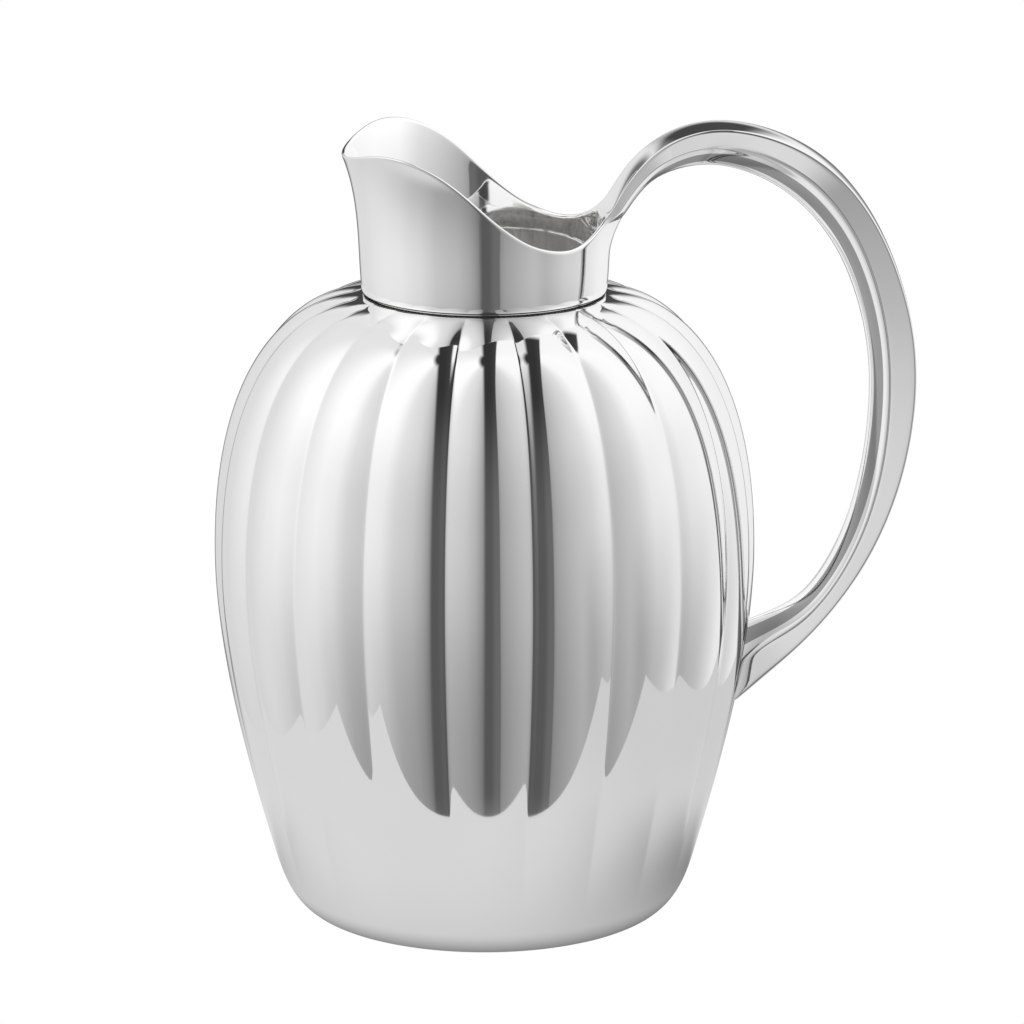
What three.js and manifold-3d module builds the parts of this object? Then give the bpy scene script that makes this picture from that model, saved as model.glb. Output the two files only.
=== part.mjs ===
// Silver water pitcher: lobed body, saddle-rimmed neck with a pouring lip, hollow loop handle.
// Millimetres, +Z up. The origin is the centre of the base on the table, the handle points
// along +X, the lip along -X, and the XZ plane is the plane of symmetry.
import * as THREE from 'three';
import { mergeVertices } from 'three/addons/utils/BufferGeometryUtils.js';
import Module from 'manifold-3d';

// ---- Driving dimensions -------------------------------------------------------------------
const SHEET = 1.2;             // thickness of the silver sheet
const GAP = 0.3;               // room between two pieces that touch
const LOBES = 20;              // convex lobes round the body
const VALLEY = 0.979;          // radius in a valley over the radius on a crest
const LOBE_FADE = [5, 44];     // heights between which the lobes grow out of the plain base
const CREST_R = 70;            // body radius on a crest at its widest
const WIDE_Z = 95.5;           // height of the widest place
const CORNER = { r: 55, z: 15 };     // where the side turns into the base
const FLAT_R = 41.5;           // radius of the flat underside
const SHOULDER_R = 31.6;       // where the shoulder meets the neck
const SHOULDER_Z = 163.7;
const SPIGOT_R = 30.4;         // upstanding collar of the body that the neck sits over
const SPIGOT_TOP = 167.5;
const NECK_Z = 164.3;          // lower edge of the neck
const NECK_TOP = 207;          // the neck before its rim is cut
const HANDLE_DEPTH = 11;       // nominal height of the handle's section, outer to inner face
const COVER = 1.5;             // thickness of the handle's outer strip, at nominal height
const BODY_STEPS = 4 * LOBES;  // flats round the lobed body
const ROUND_STEPS = 64;        // flats round the plain turned pieces
const HANDLE_STEPS = 44;

// ---- Outlines -----------------------------------------------------------------------------
const v2 = (x, y) => new THREE.Vector2(x, y);

// Body outline on a crest, from the flat underside up to the neck.
const bodyCurves = [
  new THREE.CubicBezierCurve(v2(FLAT_R, 0), v2(49, 0), v2(52.4, 6.5), v2(CORNER.r, CORNER.z)),
  new THREE.CubicBezierCurve(v2(CORNER.r, CORNER.z), v2(59.6, 30), v2(CREST_R, 66),
    v2(CREST_R, WIDE_Z)),
  new THREE.CubicBezierCurve(v2(CREST_R, WIDE_Z), v2(CREST_R, 136), v2(56.5, 161.6),
    v2(SHOULDER_R, SHOULDER_Z)),
];

// Neck outline, outside: it widens upwards into the lip.
const neckCurve = new THREE.SplineCurve([
  v2(31.6, NECK_Z), v2(32.0, 169), v2(32.5, 180), v2(33.2, 187), v2(34.2, 192.5),
  v2(36.2, 199), v2(38.8, 204), v2(40.4, NECK_TOP),
]);

// Height of the rim over x: high round the lip, low before the handle, rising into the handle.
const rimCurve = new THREE.SplineCurve([
  v2(-44, 195.5), v2(-36.6, 200.2), v2(-27, 204.1), v2(-18, 202.8), v2(-8.5, 197.6),
  v2(1.5, 188.6), v2(11.5, 181.4), v2(21.5, 179), v2(26.5, 180.6), v2(30.5, 184.2), v2(36, 193),
  v2(44, 202.5),
]);

// Handle seen from the side: its outer face and its inner face, both from the neck downwards.
const handleOuter = new THREE.SplineCurve([
  v2(30.5, 184.2), v2(37.2, 195.4), v2(46.3, 203.5), v2(58.4, 207.2), v2(74.3, 204.7),
  v2(88.9, 196.5), v2(99.7, 183.4), v2(106.9, 167.2), v2(110.6, 151.6), v2(111, 134),
  v2(107.2, 112.8), v2(98.9, 92.8), v2(84.9, 73.7), v2(64, 55.5),
]);
const handleInner = new THREE.SplineCurve([
  v2(32.6, 172), v2(36.2, 184), v2(43.5, 192.6), v2(56, 196.1), v2(67.9, 193.8), v2(79.3, 187),
  v2(88.7, 176.1), v2(94.7, 163), v2(98, 149), v2(98.7, 136), v2(96.7, 116.6), v2(90.9, 97.3),
  v2(81.3, 83.1), v2(62, 74.5),
]);

// Half width of the handle along its length: wide at both roots.
function handleHalfWidth(t) {
  const upper = 5.5 * Math.exp(-(((t - 0.02) / 0.075) ** 2));
  const lower = 2.2 * Math.exp(-(((t - 1) / 0.06) ** 2));
  return 8.4 + upper + lower;
}

// Points round the side of the handle's section: flanks and a convex inner face.
function handleRound(halfWidth, depth, startDepth, segments) {
  const points = [v2(-halfWidth, startDepth)];
  for (let i = 0; i <= segments; i++) {
    const angle = (Math.PI * i) / segments;
    points.push(v2(-halfWidth * Math.cos(angle), depth * (0.5 + 0.5 * Math.sin(angle))));
  }
  points.push(v2(halfWidth, startDepth));
  return points;
}

// ---- Helpers ------------------------------------------------------------------------------
const wasm = await Module();
wasm.setup();

// Radius over the crest radius at an angle about the vertical axis.
function lobeFactor(angle) {
  const half = Math.PI / LOBES;
  const centre = (1 - VALLEY ** 2) / (2 * (1 - VALLEY * Math.cos(half)));
  const pitch = 2 * half;
  const local = angle - pitch * Math.round(angle / pitch);
  return centre * Math.cos(local) + Math.sqrt((1 - centre) ** 2 - (centre * Math.sin(local)) ** 2);
}

// How much of the lobes' depth shows at a height.
function lobeShare(z) {
  const low = THREE.MathUtils.smoothstep(z, LOBE_FADE[0], LOBE_FADE[1]);
  return low * (1 - THREE.MathUtils.smoothstep(z, SHOULDER_Z - 0.4, SHOULDER_Z + 0.2));
}

function bend(geometry, move) {
  const place = geometry.getAttribute('position');
  const point = new THREE.Vector3();
  for (let i = 0; i < place.count; i++) {
    point.fromBufferAttribute(place, i);
    move(point);
    place.setXYZ(i, point.x, point.y, point.z);
  }
  return geometry;
}

// A turned solid about +Z from an outline of (radius, height).
function turned(outline, steps = ROUND_STEPS) {
  return new THREE.LatheGeometry(outline, steps).rotateX(Math.PI / 2);
}

// Outline moved square to itself, inwards when the distance is positive.
function offsetOutline(points, distance) {
  return points.map((point, i) => {
    const before = points[Math.max(i - 1, 0)];
    const after = points[Math.min(i + 1, points.length - 1)];
    const along = after.clone().sub(before).normalize();
    return v2(point.x - along.y * distance, point.y + along.x * distance);
  });
}

function lobed(geometry) {
  return bend(geometry, (point) => {
    const share = lobeShare(point.z);
    const factor = 1 - share * (1 - lobeFactor(Math.atan2(point.y, point.x)));
    point.x *= factor;
    point.y *= factor;
  });
}

function merged(geometry) {
  const bare = geometry.clone();
  bare.deleteAttribute('normal');
  bare.deleteAttribute('uv');
  return mergeVertices(bare, 1e-4);
}

function toSolid(geometry) {
  const shape = merged(geometry);
  return new wasm.Manifold(new wasm.Mesh({
    numProp: 3,
    vertProperties: new Float32Array(shape.getAttribute('position').array),
    triVerts: new Uint32Array(shape.index.array),
  }));
}

function fromSolid(solid) {
  const mesh = solid.getMesh();
  const geometry = new THREE.BufferGeometry();
  geometry.setAttribute('position', new THREE.BufferAttribute(mesh.vertProperties, 3));
  geometry.setIndex(new THREE.BufferAttribute(mesh.triVerts, 1));
  return geometry;
}

// A prism across the handle's plane from an outline in X and Z.
function prism(outline, width) {
  const shape = new THREE.Shape(outline);
  const geometry = new THREE.ExtrudeGeometry(shape, { depth: width, bevelEnabled: false });
  return geometry.translate(0, 0, -width / 2).rotateX(Math.PI / 2);
}

// ---- Pieces -------------------------------------------------------------------------------
function bodyOutside() {
  const [corner, side, shoulder] = bodyCurves;
  return [...corner.getPoints(4), ...side.getPoints(5).slice(1), ...shoulder.getPoints(8).slice(1)];
}

// Lobed wall with its upstanding spigot at the top and a round opening for the base plate.
function makeBodyShell() {
  const outside = bodyOutside();
  const inside = offsetOutline(outside.slice(0, -1), SHEET).reverse();
  inside[inside.length - 1] = v2(FLAT_R, SHEET);
  const outline = [...outside, v2(SPIGOT_R, SHOULDER_Z + 0.1), v2(SPIGOT_R, SPIGOT_TOP),
    v2(SPIGOT_R - SHEET, SPIGOT_TOP), v2(SPIGOT_R - SHEET, SHOULDER_Z - SHEET), ...inside,
    outside[0]];
  return lobed(turned(outline, BODY_STEPS));
}

// Flat disc let into the opening of the body, flush with the table.
function makeBasePlate() {
  const rim = FLAT_R - GAP;
  return turned([v2(0, 0), v2(rim, 0), v2(rim, SHEET), v2(0, SHEET)]);
}

// Narrow ring inside the joint of neck and body, set back to leave the dark groove.
function makeJointRing() {
  const low = SHOULDER_Z + 0.4;
  const high = SPIGOT_TOP - 0.3;
  const inner = SPIGOT_R + GAP;
  const outer = inner + 0.5;
  return turned([v2(inner, low), v2(outer, low), v2(outer, high), v2(inner, high),
    v2(inner, low)]);
}

function neckOutside(extra = 0) {
  return neckCurve.getPoints(12).map((point) => v2(point.x + extra, point.y));
}

function makeNeck() {
  const outside = neckOutside();
  const inside = neckOutside(-SHEET).reverse();
  // Wider inside at the foot, where the neck slips over the joint ring.
  const ringRoom = SPIGOT_R + 2 * GAP + 0.5;
  const foot = [v2(ringRoom, SPIGOT_TOP + 0.4), v2(ringRoom, NECK_Z)];
  const wall = inside.filter((point) => point.y > SPIGOT_TOP + 1);
  const tube = turned([...outside, ...wall, ...foot, outside[0]]);
  const rim = rimCurve.getPoints(36);
  const above = prism([...rim, v2(44, 230), v2(-44, 230)], 120);
  return fromSolid(toSolid(tube).subtract(toSolid(above)));
}

// A section drawn across X and down Y follows the handle from its upper to its lower root.
function followHandle(section) {
  const length = 300;
  const geometry = new THREE.ExtrudeGeometry(new THREE.Shape(section), {
    depth: length, steps: HANDLE_STEPS, bevelEnabled: false,
  });
  const middle = handleHalfWidth(0.5);
  return bend(geometry, (point) => {
    const t = point.z / length;
    const outer = handleOuter.getPoint(t);
    const inner = handleInner.getPoint(t);
    const share = point.y / HANDLE_DEPTH;
    const across = -point.x * (handleHalfWidth(t) / middle);
    point.set(outer.x + (inner.x - outer.x) * share, across,
      outer.y + (inner.y - outer.y) * share);
  });
}

// What the handle must keep clear of: the filled body and the filled neck, each grown by the gap.
function handleLimits() {
  const grown = bodyOutside().map((point) => v2(point.x + 2 * GAP, point.y));
  const body = lobed(turned([v2(0, 0), ...grown, v2(0, SHOULDER_Z)], BODY_STEPS));
  const neck = turned([v2(0, NECK_Z), ...neckOutside(GAP), v2(0, NECK_TOP)]);
  return toSolid(body).add(toSolid(neck));
}

function makeHandleCover(limits) {
  const w = handleHalfWidth(0.5);
  const edge = 0.9;
  const section = [v2(-w, COVER), v2(-w, edge), v2(-w + edge, 0), v2(w - edge, 0), v2(w, edge),
    v2(w, COVER)];
  return fromSolid(toSolid(followHandle(section)).subtract(limits));
}

function makeHandleTrough(limits) {
  const w = handleHalfWidth(0.5);
  const top = COVER + GAP;
  const outside = handleRound(w, HANDLE_DEPTH, top, 8);
  const inside = handleRound(w - SHEET, HANDLE_DEPTH - SHEET, top, 6).reverse();
  return fromSolid(toSolid(followHandle([...outside, ...inside])).subtract(limits));
}

// ---- Assembly -----------------------------------------------------------------------------
const silver = (colour, roughness) => new THREE.MeshStandardMaterial({
  color: colour, roughness, metalness: 1,
});

const pitcher = new THREE.Group();

function place(name, geometry, material) {
  const mesh = new THREE.Mesh(geometry, material);
  mesh.name = name;
  pitcher.add(mesh);
}

const limits = handleLimits();
place('body_shell', makeBodyShell(), silver(0xe6e5e2, 0.05));
place('base_plate', makeBasePlate(), silver(0xd2d1cd, 0.3));
place('neck_joint_ring', makeJointRing(), silver(0x8c8a86, 0.35));
place('neck_and_spout', makeNeck(), silver(0xe8e7e4, 0.05));
place('handle_outer_strip', makeHandleCover(limits), silver(0xe8e7e4, 0.06));
place('handle_inner_trough', makeHandleTrough(limits), silver(0xe8e7e4, 0.06));

export default pitcher;
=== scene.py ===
"""Silver water pitcher with a lobed body, a saddle-rimmed neck and a loop handle.

Shapes are worked out in millimetres and turned into metres when a piece is finished.
Height z starts at the underside; the handle is on the +X side and the lip on the -X side.
"""

from bisect import bisect_right
from math import atan2, cos, exp, hypot, pi, radians, sin, sqrt, tau

import bmesh
import bpy
from mathutils import Matrix, Vector


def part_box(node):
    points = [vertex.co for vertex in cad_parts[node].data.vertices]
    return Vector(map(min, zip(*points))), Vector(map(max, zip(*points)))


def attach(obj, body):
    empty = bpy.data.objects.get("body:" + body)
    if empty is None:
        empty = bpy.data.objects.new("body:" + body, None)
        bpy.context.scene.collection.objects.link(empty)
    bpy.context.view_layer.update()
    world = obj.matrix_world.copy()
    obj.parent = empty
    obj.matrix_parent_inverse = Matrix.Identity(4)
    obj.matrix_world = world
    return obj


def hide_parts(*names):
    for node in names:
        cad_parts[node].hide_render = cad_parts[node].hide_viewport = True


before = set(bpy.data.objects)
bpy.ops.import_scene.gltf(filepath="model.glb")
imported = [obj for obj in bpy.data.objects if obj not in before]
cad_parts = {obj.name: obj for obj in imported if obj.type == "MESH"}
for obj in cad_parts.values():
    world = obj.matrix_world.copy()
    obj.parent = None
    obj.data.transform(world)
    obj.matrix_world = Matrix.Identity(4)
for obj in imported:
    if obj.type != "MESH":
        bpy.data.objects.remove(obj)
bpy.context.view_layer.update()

MM = 0.001
MERGE = 0.0005            # points closer than this are one
TONE_CURVE = 2.2          # from a tone to the light it stands for

# Sheet and body
SHEET = 1.2
LOBES = 20
VALLEY = 0.979            # radius in a valley over the radius on a crest
VALLEY_ROUND = radians(0.34)
LOBE_FADE = (5.0, 44.0)   # height over which the lobes grow out of the plain foot
LOBE_END = (32.2, 35.0)   # radius over which they run out beside the neck
LOBE_HEART = Vector((0.0, 0.0, 95.0))   # faces turned towards it are inside the body
BODY_COLUMNS = 22         # columns of faces in one lobe
CROWDING = 0.8            # how strongly those columns crowd towards the valleys
FLAT_R = 41.5             # radius of the flat underside
CORNER = (55.0, 15.0)     # where the side turns into the base
CREST_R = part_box("body_shell")[1][1] / MM
WIDE_Z = 95.5             # height of the widest place
SHOULDER = (31.6, 163.7)  # where the shoulder meets the neck
FOOT_PULLS = ((49.0, 0), (52.4, 6.5))
SIDE_PULLS = ((59.6, 30.0), (CREST_R, 66.0))
SHOULDER_PULLS = ((CREST_R, 136.0), (56.5, 161.6))
FOOT_STEPS = 18
SIDE_STEPS = 38
SHOULDER_STEPS = 46
SPIGOT_R = 30.4           # upstanding collar of the body that the neck sits over
SPIGOT_TOP = 167.5
SPIGOT_DEPTH = 5          # how far down the straight inside of the collar reaches
SPIGOT_ROOM = 0.3         # the curved inside of the body ends this far below it
ROUND_STEPS = 128         # columns round the plain turned pieces

# Disc in the opening of the base, and the band in the joint under the neck
BASE_LOW_EDGE = 0.3
BASE_TOP_EDGE = 0.2
BAND_EDGE = 0.15
BAND_ROOM = 0.25          # room between the band and the collar

# Neck and its rim
NECK_Z = 164.3
NECK_OUTLINE = ((31.6, NECK_Z), (32.0, 169.0), (32.5, 180.0), (33.2, 187.0), (34.2, 192.5),
                (36.2, 199.0), (38.8, 204.0), (40.4, 207.0))
RIM_LINE = ((-44.0, 195.5), (-36.6, 200.2), (-27.0, 204.1), (-18.0, 202.8), (-8.5, 197.6),
            (1.5, 188.6), (11.5, 181.4), (21.5, 179.0), (26.5, 180.6), (30.5, 184.2),
            (36.0, 193.0), (44.0, 202.5))
RIM_ROUND = 0.35          # how far the rounding of the rim reaches down the wall

# Handle, seen from the side, from the neck to the body
HANDLE_OUTER = ((30.5, 184.2), (37.2, 195.4), (46.3, 203.5), (58.4, 207.2), (74.3, 204.7),
                (88.9, 196.5), (99.7, 183.4), (106.9, 167.2), (110.6, 151.6), (111.0, 134.0),
                (107.2, 112.8), (98.9, 92.8), (84.9, 73.7), (64.0, 55.5))
HANDLE_INNER = ((31.2, 168.0), (32.8, 177.0), (36.2, 184.0), (43.5, 192.6), (56.0, 196.1),
                (67.9, 193.8), (79.3, 187.0), (88.7, 176.1), (94.7, 163.0), (98.0, 149.0),
                (98.7, 136.0), (96.7, 116.6), (90.9, 97.3), (81.3, 83.1), (62.0, 74.5))
HANDLE_STATIONS = 52
STATION_CROWDING = 1.12   # above 1 the stations crowd towards the neck
HANDLE_HALF_WIDTH = 7.9
NECK_END_WIDER = 5.0      # added to half the width where the handle leaves the neck
NECK_END_SPREAD = 0.085   # over this share of its length
BODY_END_WIDER = 2.2      # and where it lands on the body
BODY_END_SPREAD = 0.06
FLANK_LEAN = 0.44         # how far the flanks lean in, over their depth, beside the body
TOP_LEAN = 0.10           # they lean in further by this much above the body
TOP_LEAN_ENDS = (0.20, 0.40)
ROOT_LEAN = 0.14          # and by this much again beside the neck
ROOT_LEAN_ENDS = (0.08, 0.26)
THIN_FLANK = 0.1          # the flanks are never thinner than this
EDGE_ROUND = 1.2
EDGE_ROUND_SHARE = 0.28   # largest share of the flank that an edge may take
OUTER_CROWN = 0.35
OUTER_EASE = 0.15         # the outer face lies this far inside its curve
DOME_SHARE = 0.50         # depth of the domed inner face over the whole thickness
DOME_SHALLOWER = 0.9      # the dome is this much shallower half way along the handle
SHALLOW_MIDDLE = 0.55
SHALLOW_SPREAD = 0.12
DOME_POWER = 1.8          # above 1 the dome is flat in the middle and steep at its edges
ROOT_DOME = 2.6           # depth of the dome where it flows into the neck
ROOT_DISH = 2.2           # how far the outer face dips in its middle at the neck


# ---------------------------------------------------------------- curves

def mix(a, b, share):
    """The value at a share of the way from a to b."""
    return a + (b - a) * share


def smoothstep(value, low, high):
    """0 below low, 1 above high, and a smooth rise between them."""
    share = min(max((value - low) / (high - low), 0.0), 1.0)
    return share * share * (3 - 2 * share)


def bump(value, centre, width):
    """1 at the centre, falling smoothly to 0 on both sides."""
    return exp(-((value - centre) / width) ** 2)


def bezier(start, start_pull, end_pull, end, steps):
    """Points of a cubic curve, without its last one."""
    points = []
    for step in range(steps):
        t = step / steps
        weights = ((1 - t) ** 3, 3 * t * (1 - t) ** 2, 3 * t * t * (1 - t), t ** 3)
        corners = (start, start_pull, end_pull, end)
        points.append(tuple(sum(w * c[axis] for w, c in zip(weights, corners)) for axis in (0, 1)))
    return points


class Spline:
    """A smooth curve through points in a plane, run through by its length from 0 to 1."""

    def __init__(self, knots, steps=24):
        ends = [tuple(2 * a - b for a, b in zip(knots[0], knots[1]))]
        ends += list(knots)
        ends.append(tuple(2 * a - b for a, b in zip(knots[-1], knots[-2])))
        self.points = []
        for index in range(1, len(ends) - 2):
            self.points += self.span(*ends[index - 1:index + 3], steps)
        self.points.append(tuple(float(value) for value in knots[-1]))
        self.lengths = [0.0]
        for a, b in zip(self.points, self.points[1:]):
            self.lengths.append(self.lengths[-1] + hypot(b[0] - a[0], b[1] - a[1]))

    @staticmethod
    def span(before, start, end, after, steps):
        """One stretch of a centripetal Catmull-Rom curve."""
        knots = [0.0]
        for a, b in ((before, start), (start, end), (end, after)):
            knots.append(knots[-1] + sqrt(hypot(b[0] - a[0], b[1] - a[1])))

        def between(p, q, low, high, t):
            share = (t - low) / (high - low)
            return tuple(mix(a, b, share) for a, b in zip(p, q))

        points = []
        for step in range(steps):
            t = mix(knots[1], knots[2], step / steps)
            a = between(before, start, knots[0], knots[1], t)
            b = between(start, end, knots[1], knots[2], t)
            c = between(end, after, knots[2], knots[3], t)
            d = between(a, b, knots[0], knots[2], t)
            e = between(b, c, knots[1], knots[3], t)
            points.append(between(d, e, knots[1], knots[2], t))
        return points

    def at(self, share):
        length = min(max(share, 0.0), 1.0) * self.lengths[-1]
        index = min(bisect_right(self.lengths, length), len(self.lengths) - 1)
        low, high = self.lengths[index - 1], self.lengths[index]
        part = (length - low) / (high - low)
        return tuple(mix(a, b, part) for a, b in zip(self.points[index - 1], self.points[index]))

    def across(self, axis, value):
        """The other coordinate where the curve reaches a value along one axis."""
        for a, b in zip(self.points, self.points[1:]):
            if a[axis] <= value <= b[axis]:
                return mix(a[1 - axis], b[1 - axis], (value - a[axis]) / (b[axis] - a[axis]))
        end = self.points[0] if value < self.points[0][axis] else self.points[-1]
        return end[1 - axis]

    def nearest(self, point):
        return min(self.points, key=lambda p: hypot(p[0] - point[0], p[1] - point[1]))


neck_outline = Spline(NECK_OUTLINE)
rim_line = Spline(RIM_LINE)
handle_outer = Spline(HANDLE_OUTER)
handle_inner = Spline(HANDLE_INNER, steps=160)


# ---------------------------------------------------------------- mesh helpers

def outline_loop(bm, points, closed=True):
    """Vertices and edges of an outline given as radius and height."""
    verts = [bm.verts.new((radius, 0.0, height)) for radius, height in points]
    pairs = list(zip(verts, verts[1:]))
    if closed:
        pairs.append((verts[-1], verts[0]))
    edges = [bm.edges.new(pair) for pair in pairs]
    return verts, edges


def spin_round(bm, verts, edges, steps):
    bmesh.ops.spin(
        bm,
        geom=verts + edges,
        cent=(0, 0, 0),
        axis=(0, 0, 1),
        angle=tau,
        steps=steps,
        use_merge=True,
    )
    bmesh.ops.remove_doubles(bm, verts=bm.verts, dist=MERGE)
    bmesh.ops.recalc_face_normals(bm, faces=bm.faces)


def finish_piece(bm, name, material, replaced, sharp=35):
    """Turns a finished shape into a piece of the pitcher, in metres."""
    bmesh.ops.scale(bm, vec=(MM, MM, MM), verts=bm.verts)
    mesh = bpy.data.meshes.new(name)
    bm.to_mesh(mesh)
    bm.free()
    for face in mesh.polygons:
        face.use_smooth = True
    mesh.set_sharp_from_angle(angle=radians(sharp))
    mesh.materials.append(material)
    piece = bpy.data.objects.new(name, mesh)
    bpy.context.scene.collection.objects.link(piece)
    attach(piece, "root")
    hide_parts(*replaced)
    return piece


# ---------------------------------------------------------------- body

def lobe_factor(angle):
    """Radius over the crest radius: each lobe is an arc, and valleys are finely rounded."""
    half = pi / LOBES
    centre = (1 - VALLEY ** 2) / (2 * (1 - VALLEY * cos(half)))
    local = abs(angle - 2 * half * round(angle / (2 * half)))
    local = half - hypot(half - local, VALLEY_ROUND)
    return centre * cos(local) + sqrt((1 - centre) ** 2 - (centre * sin(local)) ** 2)


def lobe_share(radius, height):
    """How far the lobes have grown: none at the foot, full on the wall, none at the neck."""
    share = smoothstep(height, *LOBE_FADE)
    if height > WIDE_Z:
        share *= smoothstep(radius, *LOBE_END)
    return share


def body_outline():
    """Closed outline of the wall on a crest, and at each point the way the lobes stand out."""
    widest = (CREST_R, WIDE_Z)
    outside = bezier((FLAT_R, 0), *FOOT_PULLS, CORNER, FOOT_STEPS)
    outside += bezier(CORNER, *SIDE_PULLS, widest, SIDE_STEPS)
    outside += bezier(widest, *SHOULDER_PULLS, SHOULDER, SHOULDER_STEPS)
    outside.append(SHOULDER)
    outwards = [(0.0, -1.0)]
    for before, after in zip(outside, outside[2:]):
        along = Vector((after[0] - before[0], after[1] - before[1])).normalized()
        outwards.append((along.y, -along.x))
    outwards.append(outwards[-1])
    inside = []
    inwards = []
    for point, way in list(zip(outside, outwards))[1:-1:2]:
        height = point[1] - way[1] * SHEET
        if SHEET < height < SPIGOT_TOP - SPIGOT_DEPTH - SPIGOT_ROOM:
            inside.append((point[0] - way[0] * SHEET, height))
            inwards.append(way)
    collar = [(SPIGOT_R, SHOULDER[1] + 0.1), (SPIGOT_R, SPIGOT_TOP)]
    collar += [(SPIGOT_R - SHEET, SPIGOT_TOP), (SPIGOT_R - SHEET, SPIGOT_TOP - SPIGOT_DEPTH)]
    points = outside + collar + inside[::-1] + [(FLAT_R, SHEET)]
    ways = outwards + [(0.0, 0.0)] * len(collar) + inwards[::-1] + [(0.0, 0.0)]
    return points, ways


def make_body(material, inside):
    """The wall is spun, then each point sinks from the crest surface to its place in a lobe.

    The faces of the inside take the second material.
    """
    bm = bmesh.new()
    way_out = bm.verts.layers.float.new("way out")
    way_up = bm.verts.layers.float.new("way up")
    points, ways = body_outline()
    verts, edges = outline_loop(bm, points)
    for vert, way in zip(verts, ways):
        vert[way_out], vert[way_up] = way
    spin_round(bm, verts, edges, BODY_COLUMNS * LOBES)
    half = pi / LOBES
    for vert in bm.verts:
        angle = atan2(vert.co.y, vert.co.x)
        crest = 2 * half * round(angle / (2 * half))
        across = (angle - crest) / half
        angle = crest + half * mix(across, sin(across * pi / 2), CROWDING)
        radius = hypot(vert.co.x, vert.co.y)
        depth = radius * (1 - lobe_factor(angle)) * lobe_share(radius, vert.co.z)
        radius -= depth * vert[way_out]
        height = vert.co.z - depth * vert[way_up]
        vert.co = (radius * cos(angle), radius * sin(angle), height)
    bm.normal_update()
    for face in bm.faces:
        centre = face.calc_center_median()
        if centre.z < SPIGOT_TOP - SPIGOT_DEPTH and face.normal.dot(centre - LOBE_HEART) < 0:
            face.material_index = 1
    piece = finish_piece(bm, "lobed_body", material, ("body_shell",))
    piece.data.materials.append(inside)
    return piece


# ---------------------------------------------------------------- base and joint

def make_base(material):
    """Flat disc that closes the underside of the body."""
    low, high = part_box("base_plate")
    radius = high[0] / MM
    top = high[2] / MM
    bottom = low[2] / MM
    bm = bmesh.new()
    points = [(0, bottom), (radius - BASE_LOW_EDGE, bottom), (radius, bottom + BASE_LOW_EDGE)]
    points += [(radius, top - BASE_TOP_EDGE), (radius - BASE_TOP_EDGE, top), (0, top)]
    verts, edges = outline_loop(bm, points, closed=False)
    spin_round(bm, verts, edges, ROUND_STEPS)
    return finish_piece(bm, "base_disc", material, ("base_plate",))


def make_joint_ring(material):
    """Narrow band set back in the joint of neck and body, in silver painted dark with the groove's
    shade.
    """
    low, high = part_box("neck_joint_ring")
    outer = high[0] / MM
    bottom = low[2] / MM
    top = high[2] / MM
    inner = SPIGOT_R + BAND_ROOM
    bm = bmesh.new()
    points = [(inner, bottom), (outer - BAND_EDGE, bottom), (outer, bottom + BAND_EDGE)]
    points += [(outer, top - BAND_EDGE), (outer - BAND_EDGE, top), (inner, top)]
    verts, edges = outline_loop(bm, points)
    spin_round(bm, verts, edges, ROUND_STEPS)
    return finish_piece(bm, "neck_joint_band", material, ("neck_joint_ring",))


# ---------------------------------------------------------------- neck and handle

COLUMNS = 44                              # columns of faces round the neck
RIM_GUESS = 190.0                         # first guess at the rim's height
RIM_ROUNDS = 8
ROOT_ANGLES = tuple(radians(value) for value in (0.0, 9.5, 18.0, 22.5))
ROOT_SPREAD = radians(27.0)               # how far round the neck swells towards the handle
ROOT_TOP = 192.0
ROOT_LENGTH = 0.17                        # share of the handle that is still root
ROOT_SHARES = (0.0, 0.48, 0.86, 1.0)      # across the handle, from its middle to its edge
PAINTED_DARK_COLUMNS = {1, 2}                    # the two bands painted dark as a reflection lie between these columns
EVEN_IN = 0.5                             # draws the bends of a line in by this much
EVEN_OUT = -0.53                          # and lets them out again by a little more
EVEN_ROUNDS = 8
CAGE_R = 30                               # where the neck's cage is spun, before it is placed

# Rows of the neck wall: side (0 inside, 1 outside), share of the way up to the rim, and a
# drop below that place. They run up the outside, over the rim and down the inside.
NECK_ROWS = (
    (0.55, 0.0, 0.0), (0.9, 0.0, -0.1), (1.0, 0.0, -0.9), (1.0, 0.0, -2.4), (1.0, 0.22, 0.0),
    (1.0, 0.38, 0.0), (1.0, 0.54, 0.0), (1.0, 0.68, 0.0), (1.0, 0.80, 0.0), (1.0, 0.90, 0.0),
    (1.0, 1.0, 1.3), (1.0, 1.0, RIM_ROUND), (0.72, 1.0, 0.0), (0.28, 1.0, 0.0),
    (0.0, 1.0, RIM_ROUND), (0.0, 1.0, 1.3), (0.0, 0.90, 0.0), (0.0, 0.78, 0.0), (0.0, 0.64, 0.0),
    (0.0, 0.50, 0.0), (0.0, 0.36, 0.0), (0.0, 0.27, 0.0), (0.45, 0.20, 0.0), (0.5, 0.0, 0.6),
)
UNDER_ROW = NECK_ROWS.index((1.0, 1.0, RIM_ROUND))   # becomes the underside of the handle
TOP_ROW = UNDER_ROW + 3                              # becomes its outer face


def column_angle(column):
    """Angle of a column of the neck, counted both ways from the middle of the handle."""
    count = abs(column)
    last = len(ROOT_ANGLES) - 1
    if count <= last:
        angle = ROOT_ANGLES[count]
    else:
        angle = mix(ROOT_ANGLES[last], pi, (count - last) / (COLUMNS / 2 - last))
    return angle if column >= 0 else -angle


def rim_height(angle):
    """Height of the rim at an angle round the neck, found by closing in on it."""
    height = RIM_GUESS
    for _ in range(RIM_ROUNDS):
        radius = neck_outline.across(1, height)
        height = rim_line.across(0, min(radius * cos(angle), HANDLE_OUTER[0][0]))
    return height


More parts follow.
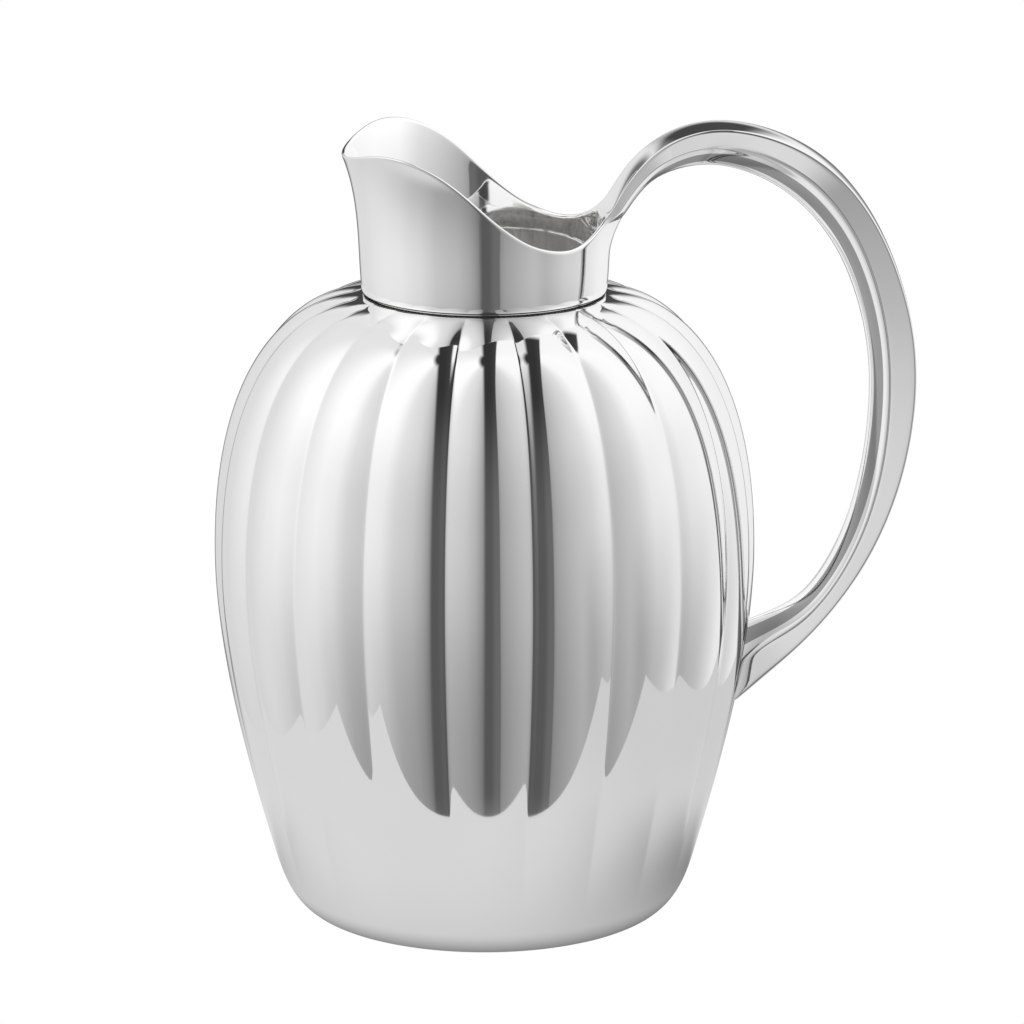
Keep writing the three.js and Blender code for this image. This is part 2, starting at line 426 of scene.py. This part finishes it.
def neck_point(angle, row):
    """A point of the neck wall, which swells out to the handle's inner line on its side."""
    side, share, drop = NECK_ROWS[row]
    top = rim_height(angle)
    height = mix(NECK_Z, top, share) - drop
    radius = neck_outline.across(1, height)
    swell = handle_inner.across(1, min(height, ROOT_TOP)) - radius
    swell = max(swell, 0.0) * (1 - smoothstep(abs(angle), 0.0, ROOT_SPREAD))
    radius += side * swell - (1 - side) * SHEET
    return Vector((radius * cos(angle), radius * sin(angle), height))


def handle_half_width(share):
    """Half the handle's width at a share of its length: wide at both roots."""
    wider = NECK_END_WIDER * bump(share, 0.0, NECK_END_SPREAD)
    return HANDLE_HALF_WIDTH + wider + BODY_END_WIDER * bump(share, 1.0, BODY_END_SPREAD)


def flank_lean(share):
    """How far the flanks lean in, over their depth, at a share of the handle's length."""
    lean = FLANK_LEAN + TOP_LEAN * (1 - smoothstep(share, *TOP_LEAN_ENDS))
    return lean + ROOT_LEAN * (1 - smoothstep(share, *ROOT_LEAN_ENDS))


def evened(line):
    """Evens out the bends of a line of points without drawing it in, its ends kept."""
    for weight in (EVEN_IN, EVEN_OUT) * EVEN_ROUNDS:
        middle = [p + ((a + b) / 2 - p) * weight for a, p, b in zip(line, line[1:], line[2:])]
        line = [line[0]] + middle + [line[-1]]
    return line


def handle_stations():
    """Pairs of points of the inner and outer face, square across the handle, and their shares."""
    steps = range(HANDLE_STATIONS + 1)
    shares = [(step / HANDLE_STATIONS) ** STATION_CROWDING for step in steps]
    outer = [Vector(handle_outer.at(share)) for share in shares]
    inner = [Vector(handle_inner.nearest(point)) for point in outer]
    return list(zip(shares, evened(inner), evened(outer)))


def handle_point(station, column, row):
    """A point of the handle's section: row 0 is the domed inner face and row 3 the outer face."""
    share, inner, outer = station
    thick = (outer - inner).length
    out = (outer - inner).normalized()
    root = 1 - smoothstep(share, 0.0, ROOT_LENGTH)
    across = ROOT_SHARES[abs(column)]
    top = thick - OUTER_CROWN * (1 - root) * across ** 2
    top -= ROOT_DISH * root ** 3 * (1 - across ** 2)
    top -= OUTER_EASE * (1 - root)
    dome = DOME_SHARE * thick - DOME_SHALLOWER * bump(share, SHALLOW_MIDDLE, SHALLOW_SPREAD)
    bottom = mix(dome, ROOT_DOME, root) * across ** DOME_POWER
    flank = max(top - bottom, THIN_FLANK)
    round_share = min(EDGE_ROUND / flank, EDGE_ROUND_SHARE)
    side = (0.0, round_share, 1 - round_share, 1.0)[row]
    place = inner + out * mix(bottom, top, side)
    width = handle_half_width(share) - flank_lean(share) * flank * (1 - side)
    return Vector((place.x, across * width * (1 if column >= 0 else -1), place.y))


def neck_cage(bm):
    """Coarse neck: a spun strip whose rows and columns are then put on the real neck."""
    row_layer = bm.verts.layers.int.new("row")
    column_layer = bm.verts.layers.int.new("column")
    strip = [(CAGE_R + index, index) for index in range(len(NECK_ROWS))]
    verts, edges = outline_loop(bm, strip)
    for index, vert in enumerate(verts):
        vert[row_layer] = index
    spin_round(bm, verts, edges, COLUMNS)
    for vert in bm.verts:
        column = round(atan2(vert.co.y, vert.co.x) / tau * COLUMNS)
        vert[column_layer] = column
        vert.co = neck_point(column_angle(column), vert[row_layer])
    return row_layer, column_layer


def draw_handle(bm, row_layer, column_layer):
    """Draws the rim on the handle's side out along the handle, one station at a time."""
    last = len(ROOT_ANGLES) - 1
    faces = []
    for face in bm.faces:
        on_rim = all(UNDER_ROW <= vert[row_layer] <= TOP_ROW for vert in face.verts)
        if on_rim and all(abs(vert[column_layer]) <= last for vert in face.verts):
            faces.append(face)
    for station in handle_stations()[1:]:
        drawn = bmesh.ops.extrude_face_region(bm, geom=faces)["geom"]
        bmesh.ops.delete(bm, geom=faces, context="FACES")
        faces = [item for item in drawn if isinstance(item, bmesh.types.BMFace)]
        for vert in {vert for face in faces for vert in face.verts}:
            vert.co = handle_point(station, vert[column_layer], vert[row_layer] - UNDER_ROW)
    return faces


def mark_painted_dark_bands(bm, row_layer, column_layer):
    """The two bands along the domed inner face of the handle take the second material, a silver
    painted dark as a dark reflection.
    """
    for face in bm.faces:
        columns = {abs(vert[column_layer]) for vert in face.verts}
        inner_face = all(vert[row_layer] == UNDER_ROW for vert in face.verts)
        if inner_face and columns == PAINTED_DARK_COLUMNS:
            face.material_index = 1


def make_neck_and_handle(material, painted_dark_silver):
    """Neck and handle in one smooth skin, as they are soldered and polished over."""
    bm = bmesh.new()
    row_layer, column_layer = neck_cage(bm)
    draw_handle(bm, row_layer, column_layer)
    mark_painted_dark_bands(bm, row_layer, column_layer)
    bmesh.ops.recalc_face_normals(bm, faces=bm.faces)
    replaced = ("neck_and_spout", "handle_outer_strip", "handle_inner_trough")
    piece = finish_piece(bm, "neck_and_handle", material, replaced, sharp=180)
    piece.data.materials.append(painted_dark_silver)
    smooth = piece.modifiers.new("smooth", "SUBSURF")
    smooth.levels = 2
    smooth.render_levels = 2
    return piece


# ---------------------------------------------------------------- materials

class Wire:
    """One output socket; arithmetic on it adds Math nodes to its tree."""

    def __init__(self, shader, socket):
        self.shader = shader
        self.socket = socket

    def math(self, operation, *others):
        values = dict(enumerate((self,) + others))
        return self.shader.node("ShaderNodeMath", {"operation": operation}, values)

    def flipped(self, operation, other):
        return self.shader.node("ShaderNodeMath", {"operation": operation}, {0: other, 1: self})

    def __add__(self, other):
        return self.math("ADD", other)

    __radd__ = __add__

    def __sub__(self, other):
        return self.math("SUBTRACT", other)

    def __rsub__(self, other):
        return self.flipped("SUBTRACT", other)

    def __mul__(self, other):
        return self.math("MULTIPLY", other)

    __rmul__ = __mul__

    def __truediv__(self, other):
        return self.math("DIVIDE", other)

    def __pow__(self, other):
        return self.math("POWER", other)

    def step(self, low, high):
        """0 below low, 1 above high, and a smooth rise between them."""
        shape = {"interpolation_type": "SMOOTHSTEP"}
        sockets = {"Value": self, "From Min": low, "From Max": high}
        return self.shader.node("ShaderNodeMapRange", shape, sockets)


class Shader:
    """The nodes of one material, or of the surroundings."""

    def __init__(self, tree):
        self.tree = tree
        tree.nodes.clear()

    def node(self, kind, settings=None, sockets=None, output=0):
        made = self.tree.nodes.new(kind)
        for name, value in (settings or {}).items():
            if name == "stops":
                self.set_stops(made.color_ramp, value)
            else:
                setattr(made, name, value)
        for name, value in (sockets or {}).items():
            if isinstance(value, Wire):
                self.tree.links.new(value.socket, made.inputs[name])
            else:
                made.inputs[name].default_value = value
        return Wire(self, made.outputs[output]) if len(made.outputs) else None

    @staticmethod
    def set_stops(ramp, stops):
        while len(ramp.elements) < len(stops):
            ramp.elements.new(1.0)
        for element, (place, tone) in zip(ramp.elements, stops):
            element.position = place
            element.color = grey(tone)


def grey(tone):
    """A neutral colour from a tone between 0 for black and 255 for white."""
    value = (tone / 255) ** TONE_CURVE
    return (value, value, value, 1)


def new_material(name):
    material = bpy.data.materials.new(name)
    material.use_nodes = True
    return material, Shader(material.node_tree)


def polished_silver(name, dull, bright):
    """Mirror silver with a trace of haze; its reflectance lies between dull and bright."""
    material, shader = new_material(name)
    place = shader.node("ShaderNodeTexCoord", output="Object")
    haze = shader.node("ShaderNodeTexNoise", {}, {"Vector": place, "Scale": 34.0, "Detail": 3.0})
    fine = shader.node("ShaderNodeTexNoise", {}, {"Vector": place, "Scale": 900.0, "Detail": 2.0})
    rough = 0.028 + 0.022 * haze.step(0.35, 0.75) + 0.010 * fine
    ripple = shader.node("ShaderNodeTexNoise", {}, {"Vector": place, "Scale": 60.0, "Detail": 1.0})
    surface = shader.node("ShaderNodeBump", {}, {
        "Height": ripple, "Strength": 0.02, "Distance": 0.0003})
    tone = shader.node("ShaderNodeMix", {"data_type": "RGBA"}, {
        0: haze, 6: (dull, dull, dull - 0.003, 1), 7: (bright, bright, bright - 0.002, 1)}, output=2)
    skin = shader.node("ShaderNodeBsdfPrincipled", {}, {
        "Base Color": tone, "Metallic": 1.0, "Roughness": rough, "Normal": surface})
    shader.node("ShaderNodeOutputMaterial", {}, {"Surface": skin})
    return material


def satin_silver():
    """Spun satin finish of the inside and the underside."""
    material, shader = new_material("satin silver")
    place = shader.node("ShaderNodeTexCoord", output="Object")
    rings = shader.node("ShaderNodeTexWave", {"wave_type": "RINGS", "rings_direction": "Z"}, {
        "Vector": place, "Scale": 240.0, "Distortion": 0.6, "Detail": 2.0, "Detail Scale": 3.0})
    haze = shader.node("ShaderNodeTexNoise", {}, {"Vector": place, "Scale": 45.0, "Detail": 4.0})
    rough = 0.10 + 0.16 * haze.step(0.35, 0.65) + 0.03 * rings
    surface = shader.node("ShaderNodeBump", {}, {
        "Height": rings, "Strength": 0.25, "Distance": 0.0001})
    tone = shader.node("ShaderNodeMix", {"data_type": "RGBA"}, {
        0: haze.step(0.40, 0.60), 6: (0.955, 0.952, 0.948, 1), 7: (1.0, 1.0, 0.995, 1)}, output=2)
    skin = shader.node("ShaderNodeBsdfPrincipled", {}, {
        "Base Color": tone, "Metallic": 1.0, "Roughness": rough, "Normal": surface})
    shader.node("ShaderNodeOutputMaterial", {}, {"Surface": skin})
    return material


def painted_groove_shade_silver():
    """Painted shade: dark silver that stands in for the shadow in the groove of the joint."""
    material, shader = new_material("painted groove shade silver")
    place = shader.node("ShaderNodeTexCoord", output="Object")
    groove_shade_mottle = shader.node("ShaderNodeTexNoise", {}, {"Vector": place, "Scale": 220.0, "Detail": 4.0})
    # noise mottles the painted groove shade and the roughness
    rough = 0.35 + 0.25 * groove_shade_mottle
    tone = shader.node("ShaderNodeMix", {"data_type": "RGBA"}, {
        0: groove_shade_mottle, 6: (0.06, 0.058, 0.055, 1), 7: (0.22, 0.215, 0.205, 1)}, output=2)
    skin = shader.node("ShaderNodeBsdfPrincipled", {}, {
        "Base Color": tone, "Metallic": 1.0, "Roughness": rough})
    shader.node("ShaderNodeOutputMaterial", {}, {"Surface": skin})
    return material


# ---------------------------------------------------------------- studio

TURN = 360.0

# Tone of the tent by the direction round it: 0 is the front, positive to the right.
TENT_ROUND = ((-180, 236), (-160, 225), (-135, 228), (-105, 244), (-85, 250), (-62, 240), (-46, 217),
              (-25, 203), (-14, 184), (-8, 162), (-4, 135), (10, 135), (13, 152), (18, 168),
              (35, 190), (60, 212), (80, 238), (110, 249), (160, 246), (180, 236))

# In the tent, x is the part of a direction to the right and rise its height, from -1 straight
# down to 1 straight up. Aside runs from 0 in front to 1 behind, and behind the other way.
HIGH_GLOW = 0.20          # the tent brightens upwards by this much in front
LOW_SHADE = 0.47          # and darkens downwards by this much
LOW_EASE = 0.13           # a little less on the right
BACK_EASE = 0.6           # both changes are weaker behind
SLOT_LEFT = (-0.10, -0.035)
SLOT_RIGHT = 0.222
SLOT_LEAN = 0.06          # the right edge of the opening comes in by this much on its way up
SLOT_SOFT = 0.012
SLOT_TONE = 0.10
SLOT_RIGHT_TONE = 0.045   # the opening is lighter by this much on the right
SLOT_HIGH_SHADE = 0.65
BELOW_TONE = 0.70
RIGHT_SHADE = 0.28
STRIP_SHADE = 0.93        # dark strip behind, above the level of the table
CARD_SHADE = 0.80         # dark card behind, below it

BOARD_LEFT, BOARD_RIGHT, BOARD_FRONT, BOARD_BACK = -150.0, 190.0, -106.0, 420.0
BOARD_DROP = 0.0002       # metres below the pitcher
BOARD_TONE = 0.72
BOARD_SHADE = 0.68        # soft shade on the right, in front of the foot
BOARD_RIGHT_SHADE = 0.10
CONTACT_SHADE = 0.60      # shade close round the foot
HIDDEN_SHADE = 0.70       # shade on the part that the pitcher hides


def front_slot(x, y, rise):
    """The dark opening in front, from 0 outside it to 1 inside."""
    right_edge = SLOT_RIGHT - SLOT_LEAN * rise.step(0.0, 0.8)
    slot = x.step(*SLOT_LEFT) * (1.0 - (x - right_edge).step(-SLOT_SOFT, SLOT_SOFT))
    return slot * (1.0 - y.step(0.40, 0.52))


def tent_lift(x, rise, aside):
    """Brightness of the tent by height, over its brightness at the level of the table."""
    front = 1.0 - BACK_EASE * aside.step(0.35, 0.75)
    low = LOW_SHADE - LOW_EASE * x.step(0.1, 0.3)
    high = HIGH_GLOW * front * rise.step(0.0, 0.4)
    return 1.0 + high - low * front * (1.0 - rise.step(-0.48, 0.04))


def tent_strips(x, rise, aside):
    """What the dark strips behind and the shaded corner low on the right leave of the light."""
    behind = 1.0 - aside
    strip = (1.0 - behind.step(0.04, 0.075)) * rise.step(0.03, 0.09) * (1.0 - rise.step(0.30, 0.38))
    card = (1.0 - behind.step(0.05, 0.12)) * (1.0 - rise.step(-0.02, 0.05)) * rise.step(-0.34, -0.24)
    low_right = x.step(0.66, 0.84) * (1.0 - rise.step(-0.30, 0.05))
    corner = 1.0 - RIGHT_SHADE * low_right * (1.0 - aside.step(0.5, 0.8))
    return corner * (1.0 - STRIP_SHADE * strip) * (1.0 - CARD_SHADE * card)


def surroundings():
    """Soft light tent with a dark opening in front, plain white where it is seen directly."""
    world = bpy.data.worlds.new("light tent")
    bpy.context.scene.world = world
    world.use_nodes = True
    shader = Shader(world.node_tree)
    direction = shader.node("ShaderNodeTexCoord", output="Generated")
    parts = shader.node("ShaderNodeSeparateXYZ", {}, {"Vector": direction})
    x, y, z = (Wire(shader, parts.socket.node.outputs[axis]) for axis in "XYZ")
    round_share = x.math("ARCTAN2", -1.0 * y) / tau + 0.5
    stops = [((angle + TURN / 2) / TURN, tone) for angle, tone in TENT_ROUND]
    tent = shader.node("ShaderNodeValToRGB", {"stops": stops}, {"Fac": round_share})
    tent = shader.node("ShaderNodeRGBToBW", {}, {"Color": tent})
    rise = z.math("ARCSINE") / (pi / 2)
    aside = (2 * round_share - 1.0).math("ABSOLUTE")
    dark = front_slot(x, y, rise).math("MAXIMUM", rise.step(0.885, 0.945))
    dark_tone = SLOT_TONE + SLOT_RIGHT_TONE * x.step(0.04, 0.16)
    dark_tone = dark_tone * (1.0 - SLOT_HIGH_SHADE * rise.step(0.0, 0.7))
    glow = tent * tent_lift(x, rise, aside) * (1.0 - dark) + dark_tone * dark
    glow = glow * tent_strips(x, rise, aside)
    below = (-1.0 * z).step(0.66, 0.84)
    glow = glow * (1.0 - below) + BELOW_TONE * below
    seen = shader.node("ShaderNodeLightPath", output="Is Camera Ray")
    glow = glow * (1.0 - seen) + seen
    light = shader.node("ShaderNodeBackground", {}, {"Color": glow, "Strength": 1.0})
    shader.node("ShaderNodeOutputWorld", {}, {"Surface": light})


def board_material():
    """White board that shades near the foot, plain white where it is seen directly."""
    material, shader = new_material("white board")
    seen = shader.node("ShaderNodeLightPath", output="Is Camera Ray")
    behind = shader.node("ShaderNodeNewGeometry", output="Backfacing")
    place = shader.node("ShaderNodeTexCoord", output="Object")
    parts = shader.node("ShaderNodeSeparateXYZ", {}, {"Vector": place})
    x, y = (Wire(shader, parts.socket.node.outputs[axis]) for axis in "XY")
    away = (x * x + y * y) ** 0.5
    shade = (0.35 * x + 0.6 * y).step(-0.060, 0.050) * (1.0 - away.step(0.060, 0.115))
    shade = shade * (1.0 - y.step(0.015, 0.055))
    contact = 1.0 - away.step(0.043, 0.055)
    sideways = x.math("ABSOLUTE") - 0.40 * y
    hidden = y.step(0.060, 0.200) * (1.0 - sideways.step(0.030, 0.110))
    glow = BOARD_TONE * (1.0 - BOARD_SHADE * shade) * (1.0 - BOARD_RIGHT_SHADE * x.step(0.0, 0.15))
    glow = glow * (1.0 - CONTACT_SHADE * contact) * (1.0 - HIDDEN_SHADE * hidden)
    glow = glow * (1.0 - seen) + seen
    light = shader.node("ShaderNodeEmission", {}, {"Color": glow, "Strength": 1.0})
    clear = shader.node("ShaderNodeBsdfTransparent")
    skin = shader.node("ShaderNodeMixShader", {}, {0: behind, 1: light, 2: clear})
    shader.node("ShaderNodeOutputMaterial", {}, {"Surface": skin})
    return material


def make_board():
    """The white board under the pitcher, seen only in the silver."""
    bm = bmesh.new()
    bmesh.ops.create_grid(bm, x_segments=1, y_segments=1, size=0.5)
    width = BOARD_RIGHT - BOARD_LEFT
    depth = BOARD_BACK - BOARD_FRONT
    bmesh.ops.scale(bm, vec=(width * MM, depth * MM, 1), verts=bm.verts)
    middle_x = (BOARD_LEFT + BOARD_RIGHT) / 2 * MM
    middle_y = (BOARD_FRONT + BOARD_BACK) / 2 * MM
    bmesh.ops.translate(bm, vec=(middle_x, middle_y, -BOARD_DROP), verts=bm.verts)
    mesh = bpy.data.meshes.new("white_board")
    bm.to_mesh(mesh)
    bm.free()
    mesh.materials.append(board_material())
    board = bpy.data.objects.new("white_board", mesh)
    bpy.context.scene.collection.objects.link(board)


MIRROR_DEPTH = 32         # reflections followed inside the polished hollow

VIEW_TURN = radians(-1.2)
VIEW_RISE = radians(14.1)
VIEW_DISTANCE = 1400.0
VIEW_CENTRE = Vector((0.0, 0.0, 105.0))
VIEW_ASIDE = 7.09
VIEW_ABOVE = 0.39
LENS = 189.9
SENSOR = 36.0


def make_camera():
    """Level camera from the front and a little above."""
    back = Vector((sin(VIEW_TURN) * cos(VIEW_RISE), -cos(VIEW_TURN) * cos(VIEW_RISE), sin(VIEW_RISE)))
    right = Vector((cos(VIEW_TURN), sin(VIEW_TURN), 0.0))
    up = back.cross(right)
    place = VIEW_CENTRE + back * VIEW_DISTANCE + right * VIEW_ASIDE + up * VIEW_ABOVE
    data = bpy.data.cameras.new("camera")
    data.lens = LENS
    data.sensor_width = SENSOR
    data.clip_start = 0.01
    camera = bpy.data.objects.new("camera", data)
    turn = Matrix((right, up, back)).transposed().to_4x4()
    camera.matrix_world = Matrix.Translation(place * MM) @ turn
    bpy.context.scene.collection.objects.link(camera)
    bpy.context.scene.camera = camera


# ---------------------------------------------------------------- making

make_camera()
bpy.context.scene.view_settings.view_transform = "Standard"
bpy.context.scene.cycles.max_bounces = MIRROR_DEPTH
bpy.context.scene.cycles.glossy_bounces = MIRROR_DEPTH
surroundings()
make_board()

satin = satin_silver()
make_body(polished_silver("body silver", 0.90, 0.95), satin)
make_base(satin)
# the band's dark silver is painted shade of the groove
make_joint_ring(painted_groove_shade_silver())
# the second silver, on the handle's inner bands, is painted dark reflection
make_neck_and_handle(polished_silver("neck silver", 0.965, 0.995),
                     polished_silver("painted dark reflection silver", 0.34, 0.42))
